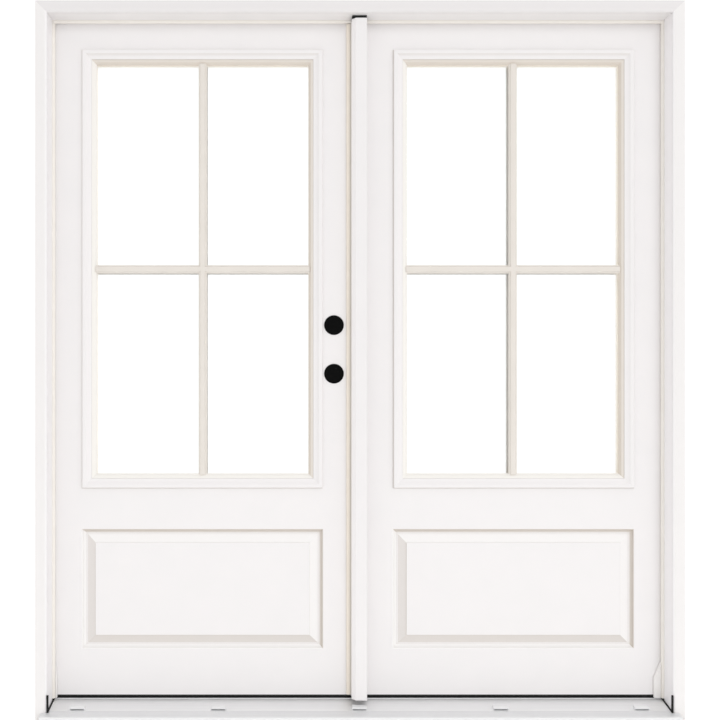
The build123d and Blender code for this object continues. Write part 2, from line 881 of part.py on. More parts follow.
for name, side in sides:
    centre = side * leaf_centre
    active = name == "left"
    bores = [(side * bore_x, z) for z in bore_heights]

    for face, out in faces:
        surface = leaf_front if out < 0 else leaf_back
        high_side = surface + skin if out < 0 else surface
        moulding = panel_section(centre, surface, out)
        moulding_path = ring_path(centre, surface, panel_bottom, panel_width, panel_height, out)
        with BuildPart() as leaf_skin:
            with BuildSketch(upright(high_side)):
                with Locations((centre, leaf_middle)):
                    Rectangle(leaf_width, leaf_height)
                with Locations((centre, lite_middle)):
                    Rectangle(cut_width, cut_height, mode=Mode.SUBTRACT)
                with Locations((centre, panel_middle)):
                    Rectangle(panel_width, panel_height, mode=Mode.SUBTRACT)
                    Rectangle(panel_width - 2 * panel_border, panel_height - 2 * panel_border)
                if active:
                    with Locations(bores):
                        Circle(bore_radius, mode=Mode.SUBTRACT)
            extrude(amount=skin)
            sweep(sections=moulding, path=moulding_path, transition=Transition.RIGHT)
            if out > 0:
                cut_plate_seats(side, leaf_edge, -side)
        save(leaf_skin, f"{name}_{face}_skin")

        half_frame = lite_section(centre, surface, out)
        half_path = ring_path(centre, surface, lite_bottom, lite_width, lite_height, out)
        with BuildPart() as lite_frame:
            sweep(sections=half_frame, path=half_path, transition=Transition.RIGHT)
            screw_stock(
                lite_screw_spots(centre),
                (0, -1, 0),
                screw_radius,
                screw_head_radius,
                lite_screw_length,
                screw_clearance,
                Mode.SUBTRACT,
            )
        save(lite_frame, f"{name}_{face}_lite_frame")

        glass_face = glass_front if out < 0 else glass_front + glass_unit_thickness
        upright_end = lite_bottom + lite_border + glazing_gap
        bar_long = lite_height - 2 * lite_border - 2 * glazing_gap
        bar_wide = lite_width - 2 * lite_border - 2 * glazing_gap
        vertical_plane = Plane(origin=(centre, glass_face, upright_end), x_dir=(out, 0, 0), z_dir=(0, 0, 1))
        level_plane = Plane(
            origin=(centre - bar_wide / 2, glass_face, lite_middle), x_dir=(0, 0, -out), z_dir=(1, 0, 0)
        )
        vertical_bar = bar_section(vertical_plane)
        level_bar = bar_section(level_plane)
        with BuildPart() as bars:
            extrude(vertical_bar, amount=bar_long)
            extrude(level_bar, amount=bar_wide)
        save(bars, f"{name}_{face}_bars")

    with BuildPart() as hinge_stile:
        stile_x = side * (leaf_edge - stile_width / 2)
        leaf_outline_cut(stile_x, stile_width, leaf_height, leaf_middle)
        cut_plate_seats(side, leaf_edge, -side)
        round_stock(
            hinge_screw_spots(side, leaf_edge),
            (-side, 0, 0),
            screw_radius + screw_clearance,
            hinge_screw_length + screw_clearance,
            Mode.SUBTRACT,
        )
    save(hinge_stile, f"{name}_hinge_stile")

    with BuildPart() as lock_stile:
        leaf_outline_cut(side * (lock_edge + stile_width / 2), stile_width, leaf_height, leaf_middle)
        leaf_outline_cut(
            side * (lock_edge + lock_block_width / 2), lock_block_width, lock_block_height, bore_middle
        )
        latch_spots = [(side * lock_edge, mid_depth, z) for z in bore_heights]
        if active:
            bore_spots = [(x, leaf_front, z) for x, z in bores]
            round_stock(bore_spots, (0, 1, 0), bore_radius, leaf_thickness, Mode.SUBTRACT)
            round_stock(latch_spots, (side, 0, 0), latch_bore_radius, backset, Mode.SUBTRACT)
        else:
            strike_depth = strike_bore_depth - stem_thickness
            round_stock(latch_spots, (side, 0, 0), latch_bore_radius, strike_depth, Mode.SUBTRACT)
    save(lock_stile, f"{name}_lock_stile")

    rail_width = leaf_width - 2 * stile_width
    with BuildPart() as top_rail:
        leaf_outline_cut(centre, rail_width, top_rail_height, leaf_top - top_rail_height / 2)
    save(top_rail, f"{name}_top_rail")

    with BuildPart() as bottom_rail:
        leaf_outline_cut(centre, rail_width, bottom_rail_height, leaf_bottom + bottom_rail_height / 2)
    save(bottom_rail, f"{name}_bottom_rail")

    core_height = leaf_height - top_rail_height - bottom_rail_height
    core_middle = leaf_bottom + bottom_rail_height + core_height / 2
    with BuildPart() as core:
        leaf_outline_cut(centre, rail_width, core_height, core_middle)
        with BuildSketch(upright(leaf_back)):
            with Locations((centre, lite_middle)):
                Rectangle(cut_width, cut_height)
            with Locations((side * (lock_edge + lock_block_width / 2), bore_middle)):
                Rectangle(lock_block_width, lock_block_height)
        extrude(amount=leaf_thickness, mode=Mode.SUBTRACT)
        for low, depth in ((leaf_front, 1), (leaf_back, -1)):
            with BuildSketch(upright(low)):
                with Locations((centre, panel_middle)):
                    Rectangle(panel_width, panel_height)
                    Rectangle(
                        panel_width - 2 * panel_border,
                        panel_height - 2 * panel_border,
                        mode=Mode.SUBTRACT,
                    )
            extrude(amount=-depth * (panel_depth + skin + seat_clearance), mode=Mode.SUBTRACT)
    save(core, f"{name}_foam_core")

    glass_width = lite_width - 2 * glass_edge_inset
    glass_height = lite_height - 2 * glass_edge_inset
    with BuildPart() as panes:
        for back in (glass_front + pane, glass_front + glass_unit_thickness):
            with BuildSketch(upright(back)):
                with Locations((centre, lite_middle)):
                    Rectangle(glass_width, glass_height)
            extrude(amount=pane)
    save(panes, f"{name}_glass_panes")

    with BuildPart() as spacer:
        with BuildSketch(upright(glass_front + glass_unit_thickness - pane)):
            with Locations((centre, lite_middle)):
                Rectangle(glass_width, glass_height)
                Rectangle(glass_width - 2 * spacer_width, glass_height - 2 * spacer_width, mode=Mode.SUBTRACT)
        extrude(amount=glass_unit_thickness - 2 * pane)
    save(spacer, f"{name}_glass_spacer")

    with BuildPart() as glazing_seals:
        for back in (glass_front, glass_front + glass_unit_thickness + glazing_gap):
            with BuildSketch(upright(back)):
                with Locations((centre, lite_middle)):
                    Rectangle(
                        glass_width - 2 * glazing_tape_inset,
                        glass_height - 2 * glazing_tape_inset,
                    )
                    Rectangle(
                        lite_width - 2 * lite_border - 2 * glazing_tape_set_back,
                        lite_height - 2 * lite_border - 2 * glazing_tape_set_back,
                        mode=Mode.SUBTRACT,
                    )
            extrude(amount=glazing_gap)
    save(glazing_seals, f"{name}_glazing_seals")

    with BuildPart() as lite_screws:
        screw_stock(
            lite_screw_spots(centre),
            (0, -1, 0),
            screw_radius,
            screw_head_radius,
            lite_screw_length,
        )
    save(lite_screws, f"{name}_lite_screws")

    with BuildPart() as sweep_strip:
        with BuildSketch(Plane.YZ.offset(centre)) as strip:
            with Locations((mid_depth, leaf_bottom - sweep_plate / 2)):
                Rectangle(inner_thickness, sweep_plate)
            fin_height = leaf_bottom - cap_top - seal_clearance
            fin_pitch = (inner_thickness - fin_thickness) / (fin_count - 1)
            for number in range(fin_count):
                place = mid_depth + (number - (fin_count - 1) / 2) * fin_pitch
                with Locations((place, leaf_bottom - fin_height / 2)):
                    Rectangle(fin_thickness, fin_height)
        extrude(amount=leaf_width / 2 - sweep_inset, both=True)
    save(sweep_strip, f"{name}_sweep")

# Flat covers over the outdoor mouths of the lock bores
with BuildPart() as bore_covers:
    for z in bore_heights:
        with Locations(Plane(origin=(-bore_x, leaf_front, z), z_dir=(0, -1, 0))):
            Cylinder(cover_radius, cover_thickness, align=low_end)
    fronts = bore_covers.faces().sort_by(Axis.Y)[:2]
    chamfer(fronts.edges(), cover_edge)
save(bore_covers, "bore_covers")

# Astragal: a hollow post outdoors and a stem between the leaves

relief_left = lock_edge + seal_clearance
relief_front = leaf_front - seal_clearance - foam_thickness

with BuildPart() as astragal_post:
    with BuildSketch(Plane.XY.offset(post_bottom)) as post_shape:
        with BuildLine():
            Polyline(
                (-post_left + post_chamfer, post_front),
                (post_right - post_edge, post_front),
                (post_right, post_front + post_edge),
                (post_right, leaf_front),
                (stem_left, leaf_front),
                (stem_left, relief_front),
                (-post_left, relief_front),
                (-post_left, post_front + post_chamfer),
                close=True,
            )
        make_face()
        with BuildLine():
            Polyline(
                (-post_left + post_chamfer + post_wall / 2, post_front + post_wall),
                (post_right - post_wall, post_front + post_wall),
                (post_right - post_wall, leaf_front - post_wall),
                (stem_left + post_wall, leaf_front - post_wall),
                (stem_left + post_wall, relief_front - kerf_depth - post_wall),
                (-post_left + post_wall, relief_front - kerf_depth - post_wall),
                (-post_left + post_wall, post_front + post_chamfer + post_wall / 2),
                close=True,
            )
        make_face(mode=Mode.SUBTRACT)
        with Locations((stem_left - kerf_inset, relief_front - kerf_depth / 2)):
            Rectangle(kerf_width, kerf_depth, mode=Mode.SUBTRACT)
    extrude(amount=post_top - post_bottom)
save(astragal_post, "astragal_post")

with BuildPart() as astragal_seal:
    with BuildSketch(Plane.XY.offset(post_bottom + foam_end_inset)):
        front = relief_front + seal_clearance
        back = leaf_front - seal_clearance
        kerf_middle = stem_left - kerf_inset
        fin = kerf_width / 2 - seal_clearance
        far = -post_left - foam_reach
        with BuildLine():
            Polyline(
                (far + foam_round, front),
                (kerf_middle - fin, front),
                (kerf_middle - fin, front - kerf_depth + seal_inset),
                (kerf_middle + fin, front - kerf_depth + seal_inset),
                (kerf_middle + fin, front),
                (stem_left - seal_clearance, front),
                (stem_left - seal_clearance, back),
                (far + foam_round, back),
            )
            ThreePointArc(
                (far + foam_round, back),
                (far, (front + back) / 2),
                (far + foam_round, front),
            )
        make_face()
    extrude(amount=post_top - post_bottom - 2 * foam_end_inset)
save(astragal_seal, "astragal_seal")

stem_top = leaf_top
stem_bottom = leaf_bottom
tab_places = (stem_top - tab_from_end, stem_bottom + tab_from_end)

with BuildPart() as astragal_stem:
    with BuildSketch(Plane.XY.offset(stem_bottom)):
        with Locations(((stem_left + stem_right) / 2, mid_depth)):
            Rectangle(stem_thickness, leaf_thickness)
    extrude(amount=stem_top - stem_bottom)
    channel = bolt_length + bolt_travel + bolt_recess + bolt_end_room
    channel_radius = bolt_radius + sliding_clearance
    round_stock([(bolt_x, bolt_y, stem_top)], (0, 0, -1), channel_radius, channel, Mode.SUBTRACT)
    round_stock([(bolt_x, bolt_y, stem_bottom)], (0, 0, 1), channel_radius, channel, Mode.SUBTRACT)
    for middle, way in ((tab_places[0], 1), (tab_places[1], -1)):
        with BuildSketch(Plane.YZ.offset(stem_left)):
            with Locations((bolt_y, middle + way * bolt_travel / 2)):
                Rectangle(
                    tab_width + 2 * sliding_clearance,
                    tab_height + bolt_travel + 2 * seat_clearance,
                )
        extrude(amount=bolt_x - stem_left, mode=Mode.SUBTRACT)
    strikes = [(stem_left, mid_depth, z) for z in bore_heights]
    round_stock(strikes, (1, 0, 0), latch_bore_radius, stem_thickness, Mode.SUBTRACT)
save(astragal_stem, "astragal_stem")

# Round bolts that slide out of the stem's ends, each with a thumb tab in its slot
for name, end, middle, way in (
    ("top_bolt", stem_top - bolt_recess, tab_places[0], -1),
    ("bottom_bolt", stem_bottom + bolt_recess, tab_places[1], 1),
):
    with BuildPart() as bolt:
        round_stock([(bolt_x, bolt_y, end)], (0, 0, way), bolt_radius, bolt_length)
        with Locations(((stem_left + tab_inset + bolt_x) / 2, bolt_y, middle)):
            Box(bolt_x - stem_left - tab_inset, tab_width, tab_height)
        ends = bolt.faces().filter_by(Axis.Z).sort_by(Axis.Z)
        chamfer((ends[-1] if way < 0 else ends[0]).edges(), bolt_radius * 0.25)
    save(bolt, name)
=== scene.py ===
import math

import bpy
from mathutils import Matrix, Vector


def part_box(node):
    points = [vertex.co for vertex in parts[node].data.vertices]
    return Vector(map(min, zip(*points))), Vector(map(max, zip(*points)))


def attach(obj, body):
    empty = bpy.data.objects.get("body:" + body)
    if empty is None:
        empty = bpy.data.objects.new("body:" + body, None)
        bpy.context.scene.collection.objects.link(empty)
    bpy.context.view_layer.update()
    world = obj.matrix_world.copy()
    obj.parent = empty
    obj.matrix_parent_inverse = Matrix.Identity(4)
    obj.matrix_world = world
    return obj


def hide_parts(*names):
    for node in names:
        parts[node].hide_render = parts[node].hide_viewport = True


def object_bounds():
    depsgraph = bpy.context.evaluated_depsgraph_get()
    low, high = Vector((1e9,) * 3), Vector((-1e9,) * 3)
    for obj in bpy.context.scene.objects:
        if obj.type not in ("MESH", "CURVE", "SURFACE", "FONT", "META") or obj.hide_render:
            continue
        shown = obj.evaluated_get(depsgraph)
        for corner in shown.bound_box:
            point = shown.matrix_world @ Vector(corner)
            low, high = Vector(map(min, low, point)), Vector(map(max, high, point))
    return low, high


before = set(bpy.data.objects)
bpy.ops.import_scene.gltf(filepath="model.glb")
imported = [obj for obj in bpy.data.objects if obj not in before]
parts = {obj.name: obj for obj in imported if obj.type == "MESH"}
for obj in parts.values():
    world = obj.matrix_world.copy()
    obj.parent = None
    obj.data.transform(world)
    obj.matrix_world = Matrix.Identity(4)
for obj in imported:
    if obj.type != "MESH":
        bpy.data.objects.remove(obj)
cad_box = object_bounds()
scene = bpy.context.scene

# Standpoint: a lens at chest height, straight on to the doors and a little left of their middle,
# shifted sideways instead of turned, so that uprights and levels stay true.

DISTANCE = 2.4
EYE_HEIGHT = 1.0
EYE_LEFT = 0.2
FOCAL_PIXELS = 859.0
LIFT_PIXELS = 5.0
PICTURE = 720.0
SENSOR = 36.0
NEAREST = 0.05

lens = bpy.data.cameras.new("standpoint")
lens.sensor_width = SENSOR
lens.lens = SENSOR * FOCAL_PIXELS / PICTURE
lens.shift_x = EYE_LEFT / DISTANCE * FOCAL_PIXELS / PICTURE
lens.shift_y = LIFT_PIXELS / PICTURE
lens.clip_start = NEAREST
standpoint = bpy.data.objects.new("standpoint", lens)
standpoint.location = (-EYE_LEFT, -DISTANCE, EYE_HEIGHT)
standpoint.rotation_euler = (math.radians(90), 0, 0)
scene.collection.objects.link(standpoint)
scene.camera = standpoint
scene.view_settings.view_transform = "Standard"

# Studio: a white room that shines brighter behind the doors than it lights them, and a wide softbox
# in front on the right, well above the doors, kept out of reflections so that it leaves no glare.
# The pale matt floor is lit from below.

ROOM_LIGHT = 0.8
CEILING_LIGHT = 0.87
BACKDROP_LIGHT = 1.12
SOFTBOX_SPOT = Vector((3.8, -11.0, 5.6))
SOFTBOX_AIM = Vector((0, 0, 1.0))
SOFTBOX_SIZE = (4.8, 4.2)
SOFTBOX_WATTS = 286.0
FLOOR_SPAN = 8.0
FLOOR_CLOUD = 1.25
FLOOR_GLOW = 0.32


def linear(code):
    """Linear colour of an sRGB hex value."""
    shares = [int(code[i:i + 2], 16) / 255 for i in (1, 3, 5)]
    return [c / 12.92 if c <= 0.04045 else ((c + 0.055) / 1.055) ** 2.4 for c in shares] + [1.0]


def put(tree, kind, inputs=None, **settings):
    """Adds a node with its settings; an input is a value or the socket that feeds it."""
    made = tree.nodes.new("ShaderNode" + kind)
    for name, value in settings.items():
        setattr(made, name, value)
    for name, value in (inputs or {}).items():
        if isinstance(value, bpy.types.NodeSocket):
            tree.links.new(value, made.inputs[name])
        else:
            made.inputs[name].default_value = value
    return made


surroundings = bpy.data.worlds.new("white_room")
surroundings.use_nodes = True
room = surroundings.node_tree
backdrop = room.nodes["Background"]
backdrop.inputs["Color"].default_value = (1.0, 0.998, 0.998, 1.0)
ray = put(room, "LightPath")
seen = put(
    room,
    "Math",
    {0: ray.outputs["Is Camera Ray"], 1: ray.outputs["Is Transmission Ray"]},
    operation="MAXIMUM",
)
way = put(room, "SeparateXYZ", {"Vector": put(room, "TexCoord").outputs["Generated"]})
falling = put(room, "MapRange", {"Value": way.outputs["Z"], "To Min": ROOM_LIGHT, "To Max": CEILING_LIGHT})
glow = put(
    room,
    "MapRange",
    {"Value": seen.outputs["Value"], "To Min": falling.outputs["Result"], "To Max": BACKDROP_LIGHT},
)
room.links.new(glow.outputs["Result"], backdrop.inputs["Strength"])
scene.world = surroundings

light = bpy.data.lights.new("front_softbox", "AREA")
light.shape = "RECTANGLE"
light.size, light.size_y = SOFTBOX_SIZE
light.energy = SOFTBOX_WATTS
softbox = bpy.data.objects.new("front_softbox", light)
softbox.location = SOFTBOX_SPOT
softbox.rotation_euler = (SOFTBOX_AIM - SOFTBOX_SPOT).to_track_quat("-Z", "Y").to_euler()
softbox.visible_glossy = False
scene.collection.objects.link(softbox)

bpy.ops.object.select_all(action="DESELECT")
bpy.ops.mesh.primitive_plane_add(size=FLOOR_SPAN, location=(0, 0, 0))
floor = bpy.context.object
floor.name = "studio_floor"
floor_finish = bpy.data.materials.new("matt_pale_floor")
floor_finish.use_nodes = True
tree = floor_finish.node_tree
place = put(tree, "TexCoord").outputs["Object"]
cloud = put(tree, "TexNoise", {"Vector": place, "Scale": 1 / FLOOR_CLOUD, "Detail": 2.0}).outputs["Fac"]
shade = put(tree, "Mix", {"Factor": cloud, "A": linear("#efefee"), "B": linear("#f3f3f2")}, data_type="RGBA")
floor_shader = tree.nodes["Principled BSDF"]
tree.links.new(shade.outputs[2], floor_shader.inputs["Base Color"])
floor_shader.inputs["Roughness"].default_value = 0.85
floor_shader.inputs["Emission Color"].default_value = linear("#ffffff")
floor_shader.inputs["Emission Strength"].default_value = FLOOR_GLOW
floor.data.materials.append(floor_finish)

# Frame: head and two jambs of wood-fibre composite, run through one cutter, mitred at the top and
# sprayed with satin white paint. The paint lies a little cloudy, with the faint dimple of a spray gun.
# The head's face is painted a shade darker than the jambs' faces, as painted shade, and the jambs' sides are
# painted a shade lighter, as painted light.

MM = 0.001
PAINT_CLOUD = 90.0
PAINT_DIMPLE = 3.0
SIDE_FROM = 0.3
SIDE_FULL = 0.8


def new_finish(name):
    """A material with its node tree, its shader and the object's own coordinates."""
    made = bpy.data.materials.new(name)
    made.use_nodes = True
    tree = made.node_tree
    return made, tree, tree.nodes["Principled BSDF"], put(tree, "TexCoord").outputs["Object"]


def coat(finish, *names):
    """Gives CAD pieces their finish."""
    for name in names:
        if not parts[name].material_slots:
            parts[name].data.materials.append(finish)
        for held in parts[name].material_slots:
            held.material = finish


def paint_side_shading(finish, way, code):
    """Paints the faces that point one way a tone of their own, lighter or darker, as painted light or
    painted shade.
    """
    tree = finish.node_tree
    colour = tree.nodes["Principled BSDF"].inputs["Base Color"]
    facing = put(tree, "TexCoord").outputs["Normal"]
    turned = put(tree, "VectorMath", {0: facing, 1: way}, operation="DOT_PRODUCT").outputs["Value"]
    share = put(tree, "MapRange", {"Value": turned, "From Min": SIDE_FROM, "From Max": SIDE_FULL})
    toned = put(
        tree,
        "Mix",
        {"Factor": share.outputs["Result"], "A": colour.links[0].from_socket, "B": linear(code)},
        data_type="RGBA",
    )
    tree.links.new(toned.outputs[2], colour)


def sprayed_paint(name, light, dark, gloss, dimple_depth):
    """Satin paint: soft, even highlights. Its dimple is drawn 3 mm coarse so that it shows at all."""
    finish, tree, shader, place = new_finish(name)
    cloud_scale = 1 / (PAINT_CLOUD * MM)
    dimple_scale = 1 / (PAINT_DIMPLE * MM)
    cloud = put(tree, "TexNoise", {"Vector": place, "Scale": cloud_scale, "Detail": 3.0}).outputs["Fac"]
    tone = put(tree, "Mix", {"Factor": cloud, "A": linear(dark), "B": linear(light)}, data_type="RGBA")
    tree.links.new(tone.outputs[2], shader.inputs["Base Color"])
    dimple = put(tree, "TexNoise", {"Vector": place, "Scale": dimple_scale, "Detail": 2.0}).outputs["Fac"]
    sheen = put(tree, "MapRange", {"Value": dimple, "To Min": gloss - 0.04, "To Max": gloss + 0.04})
    tree.links.new(sheen.outputs["Result"], shader.inputs["Roughness"])
    bump = put(tree, "Bump", {"Height": dimple, "Strength": 0.25, "Distance": dimple_depth * MM})
    tree.links.new(bump.outputs["Normal"], shader.inputs["Normal"])
    return finish


frame_paint = sprayed_paint("satin_painted_composite", "#efeceb", "#eae8e7", 0.42, 0.05)
# Painted light: the jambs' sides that face across the opening are painted lighter than their faces.
paint_side_shading(frame_paint, (1.0, 0.0, 0.0), "#f6f4f5")
paint_side_shading(frame_paint, (-1.0, 0.0, 0.0), "#f8f6f7")
coat(frame_paint, "left_jamb", "right_jamb")
# The head gets its own copy of the paint so that its outward face can be painted darker, as painted shade.
head_paint = sprayed_paint("satin_painted_head_composite", "#efeceb", "#eae8e7", 0.42, 0.05)
paint_side_shading(head_paint, (0.0, -1.0, 0.0), "#e5e2e2")
coat(head_paint, "head_jamb")

# Sill: an extruded aluminium deck over a composite base. The deck is left as it came from the die,
# so it is silvery with fine draw lines along its length, and a touch darker in its grooves. Its dull
# oxide skin scatters some of the light, so it is drawn as less than fully metallic.

DRAW_LINE = 1.4
DRAW_STRETCH = 0.004
DECK_METAL = 0.75

mill_metal, tree, shader, place = new_finish("mill_finish_aluminium")
stretched = put(tree, "Mapping", {"Vector": place, "Scale": (DRAW_STRETCH, 1.0, 1.0)}).outputs["Vector"]
line_scale = 1 / (DRAW_LINE * MM)
lines = put(tree, "TexNoise", {"Vector": stretched, "Scale": line_scale, "Detail": 3.0}).outputs["Fac"]
tone = put(tree, "Mix", {"Factor": lines, "A": linear("#eeeff1"), "B": linear("#fefefe")}, data_type="RGBA")
tree.links.new(tone.outputs[2], shader.inputs["Base Color"])
sheen = put(tree, "MapRange", {"Value": lines, "To Min": 0.42, "To Max": 0.58})
tree.links.new(sheen.outputs["Result"], shader.inputs["Roughness"])
bump = put(tree, "Bump", {"Height": lines, "Strength": 0.3, "Distance": 0.04 * MM})
tree.links.new(bump.outputs["Normal"], shader.inputs["Normal"])
shader.inputs["Metallic"].default_value = DECK_METAL
coat(mill_metal, "sill_deck")

# Sill base and threshold cap: both are pressed wood-and-plastic composite. The base stays grey with pale
# fibres in it, and the cap under the leaves is made nearly black as painted shade, so that it reads as the
# shadow under the leaves.

FIBRE_LENGTH = 6.0
FIBRE_STRETCH = 0.25


def pressed_composite(name, light, dark):
    """Pressed wood fibre and plastic: matt, flecked with fibres that lie along the piece."""
    finish, tree, shader, place = new_finish(name)
    stretched = put(tree, "Mapping", {"Vector": place, "Scale": (FIBRE_STRETCH, 1.0, 1.0)}).outputs["Vector"]
    fibre_scale = 1 / (FIBRE_LENGTH * MM)
    fibre = put(tree, "TexNoise", {"Vector": stretched, "Scale": fibre_scale, "Detail": 5.0}).outputs["Fac"]
    tone = put(tree, "Mix", {"Factor": fibre, "A": linear(dark), "B": linear(light)}, data_type="RGBA")
    tree.links.new(tone.outputs[2], shader.inputs["Base Color"])
    bump = put(tree, "Bump", {"Height": fibre, "Strength": 0.4, "Distance": 0.1 * MM})
    tree.links.new(bump.outputs["Normal"], shader.inputs["Normal"])
    shader.inputs["Roughness"].default_value = 0.72
    return finish


coat(pressed_composite("grey_wood_composite", "#b5afa7", "#9b958d"), "sill_base")
# Painted shade: the cap's near-black stands in for the shadow under the leaves.
coat(pressed_composite("shadow_black_wood_composite", "#161616", "#0c0c0c"), "threshold_cap")

# Weep covers: little hoods moulded in white plastic and clipped over the deck's drain slots.
# Moulded plastic has an even colour, a low gloss and the faint grain of its mould.

PLASTIC_CLOUD = 71.4
MOULD_GRAIN = 1.6


def moulded_plastic(name, light, dark, gloss, grain_depth):
    """Moulded plastic, its grain drawn 1.6 mm coarse so that it breaks up the highlights."""
    finish, tree, shader, place = new_finish(name)
    cloud_scale = 1 / (PLASTIC_CLOUD * MM)
    grain_scale = 1 / (MOULD_GRAIN * MM)
    cloud = put(tree, "TexNoise", {"Vector": place, "Scale": cloud_scale, "Detail": 2.0}).outputs["Fac"]
    tone = put(tree, "Mix", {"Factor": cloud, "A": linear(dark), "B": linear(light)}, data_type="RGBA")
    tree.links.new(tone.outputs[2], shader.inputs["Base Color"])
    grain = put(tree, "TexNoise", {"Vector": place, "Scale": grain_scale, "Detail": 2.0}).outputs["Fac"]
    sheen = put(tree, "MapRange", {"Value": grain, "To Min": gloss - 0.05, "To Max": gloss + 0.05})
    tree.links.new(sheen.outputs["Result"], shader.inputs["Roughness"])
    bump = put(tree, "Bump", {"Height": grain, "Strength": 0.2, "Distance": grain_depth * MM})
    tree.links.new(bump.outputs["Normal"], shader.inputs["Normal"])
    return finish


coat(moulded_plastic("moulded_acetal", "#eeeeef", "#e8e8e9", 0.32, 0.02), "weep_covers")

# Sill gaskets: black cellular rubber between each end of the deck and the jamb, a low strip along the
# deck's slope with a leg turned up at the jamb's outdoor corner. Matt, with open cells along the cuts.

RUBBER_CELL = 1.2
GASKET_LEG_DEPTH = 4.2
GASKET_LEG_DRAW = 20.0
GASKET_EDGE = 0.5
SQUARE_ON = 0.9


def cellular_rubber(name, light, dark, rough):
    """Cellular rubber or foam: matt, with round cells a shade apart."""
    finish, tree, shader, place = new_finish(name)
    cells = put(tree, "TexVoronoi", {"Vector": place, "Scale": 1 / (RUBBER_CELL * MM)}).outputs["Distance"]
    tone = put(tree, "Mix", {"Factor": cells, "A": linear(dark), "B": linear(light)}, data_type="RGBA")
    tree.links.new(tone.outputs[2], shader.inputs["Base Color"])
    bump = put(tree, "Bump", {"Height": cells, "Strength": 0.35, "Distance": 0.15 * MM})
    tree.links.new(bump.outputs["Normal"], shader.inputs["Normal"])
    shader.inputs["Roughness"].default_value = rough
    return finish


def block(name, low, high):
    """Block of stock between two corners, with its place in its mesh."""
    bpy.ops.object.select_all(action="DESELECT")
    bpy.ops.mesh.primitive_cube_add(size=1.0, location=(Vector(low) + Vector(high)) / 2)
    piece = bpy.context.object
    piece.name = name
    piece.data.name = name
    piece.scale = Vector(high) - Vector(low)
    bpy.ops.object.transform_apply(location=True, rotation=False, scale=True)
    return piece


def pick(piece, kind, test):
    """Goes to edit mode with the faces (middle, normal) or edges (two ends) selected that pass the test.

    A face counts as facing a side when its normal points that way by more than SQUARE_ON.
    """
    bpy.ops.object.mode_set(mode="EDIT")
    bpy.ops.mesh.select_mode(type=kind)
    bpy.ops.mesh.select_all(action="DESELECT")
    bpy.ops.object.mode_set(mode="OBJECT")
    if kind == "FACE":
        for face in piece.data.polygons:
            face.select = test(face.center, face.normal)
    else:
        for edge in piece.data.edges:
            edge.select = test(*(piece.data.vertices[i].co for i in edge.vertices))
    bpy.ops.object.mode_set(mode="EDIT")


def slice_across(piece, spot, normal, **clear):
    """Cuts the whole piece along a plane; clear_outer or clear_inner drops one side and closes the cut."""
    bpy.ops.object.mode_set(mode="EDIT")
    bpy.ops.mesh.select_all(action="SELECT")
    bpy.ops.mesh.bisect(plane_co=spot, plane_no=normal, use_fill=bool(clear), **clear)


def done(piece, finish, body, slot, *nodes):
    """Leaves edit mode, shades the piece and hangs it on its body in place of its CAD nodes."""
    bpy.ops.object.mode_set(mode="OBJECT")
    bpy.ops.object.shade_smooth_by_angle(angle=math.radians(40))
    piece.data.materials.append(finish)
    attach(piece, body)
    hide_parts(*nodes)


black_rubber = cellular_rubber("black_cellular_rubber", "#171717", "#0a0a0a", 0.85)
gasket_low, gasket_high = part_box("sill_gaskets")
gasket_corners = [v.co for v in parts["sill_gaskets"].data.vertices]
back_heights = [p.z for p in gasket_corners if p.y > gasket_high.y - MM]
strip_back_low, strip_top = min(back_heights), max(back_heights)
gasket_inner = min(abs(p.x) for p in gasket_corners)
leg_root = gasket_low.y + GASKET_LEG_DEPTH * MM
for word, side in (("left", -1), ("right", 1)):
    ends = sorted((side * gasket_high.x, side * gasket_inner))
    gasket = block(
        f"{word}_sill_gasket",
        (ends[0], gasket_low.y, strip_back_low),
        (ends[1], gasket_high.y, strip_top),
    )
    pick(gasket, "FACE", lambda middle, normal: normal.y < -SQUARE_ON)
    bpy.ops.transform.translate(value=(0, 0, gasket_low.z - strip_back_low))
    slice_across(gasket, (0, leg_root, 0), (0, 1, 0))
    # The leg's top is drawn out past the strip, levelled and set to the gasket's full height.
    pick(gasket, "FACE", lambda middle, normal: normal.z > 0.5 and middle.y < leg_root)
    bpy.ops.mesh.extrude_region_move(TRANSFORM_OT_translate={"value": (0, 0, GASKET_LEG_DRAW * MM)})
    bpy.ops.transform.resize(value=(1, 1, 0))
    bpy.ops.object.mode_set(mode="OBJECT")
    for vertex in gasket.data.vertices:
        if vertex.co.z > strip_top:
            vertex.co.z = gasket_high.z
    pick(gasket, "EDGE", lambda a, b: (a - b).length > 3 * MM)
    bpy.ops.mesh.bevel(offset=GASKET_EDGE * MM, segments=2)
    done(gasket, black_rubber, "frame", "seal_black", "sill_gaskets")

# Jamb and head seals: foam in a thin beige skin, extruded round a stiff fin that is pushed into the
# kerf behind each stop. The free end is full and round, and the leaf presses on its back. The skin
# has a soft sheen and fine wrinkles.

SEAL_WIDTH = 19.0
SEAL_FIN = 10.0
FIN_START = 5.3
FIN_WIDTH = 2.4
SEAL_ROUND = 5.6
FOAM_CLOUD = 25.0
FOAM_WRINKLE = 2.0


def skinned_foam(name, light, dark):
    """Foam in a thin skin: a soft sheen, faint clouds of colour and wrinkles 2 mm apart."""
    finish, tree, shader, place = new_finish(name)
    cloud_scale = 1 / (FOAM_CLOUD * MM)
    wrinkle_scale = 1 / (FOAM_WRINKLE * MM)
    cloud = put(tree, "TexNoise", {"Vector": place, "Scale": cloud_scale, "Detail": 4.0}).outputs["Fac"]
    tone = put(tree, "Mix", {"Factor": cloud, "A": linear(dark), "B": linear(light)}, data_type="RGBA")
    tree.links.new(tone.outputs[2], shader.inputs["Base Color"])
    skin = put(tree, "TexNoise", {"Vector": place, "Scale": wrinkle_scale, "Detail": 3.0}).outputs["Fac"]
    bump = put(tree, "Bump", {"Height": skin, "Strength": 0.4, "Distance": 0.15 * MM})
    tree.links.new(bump.outputs["Normal"], shader.inputs["Normal"])
    shader.inputs["Roughness"].default_value = 0.6
    return finish


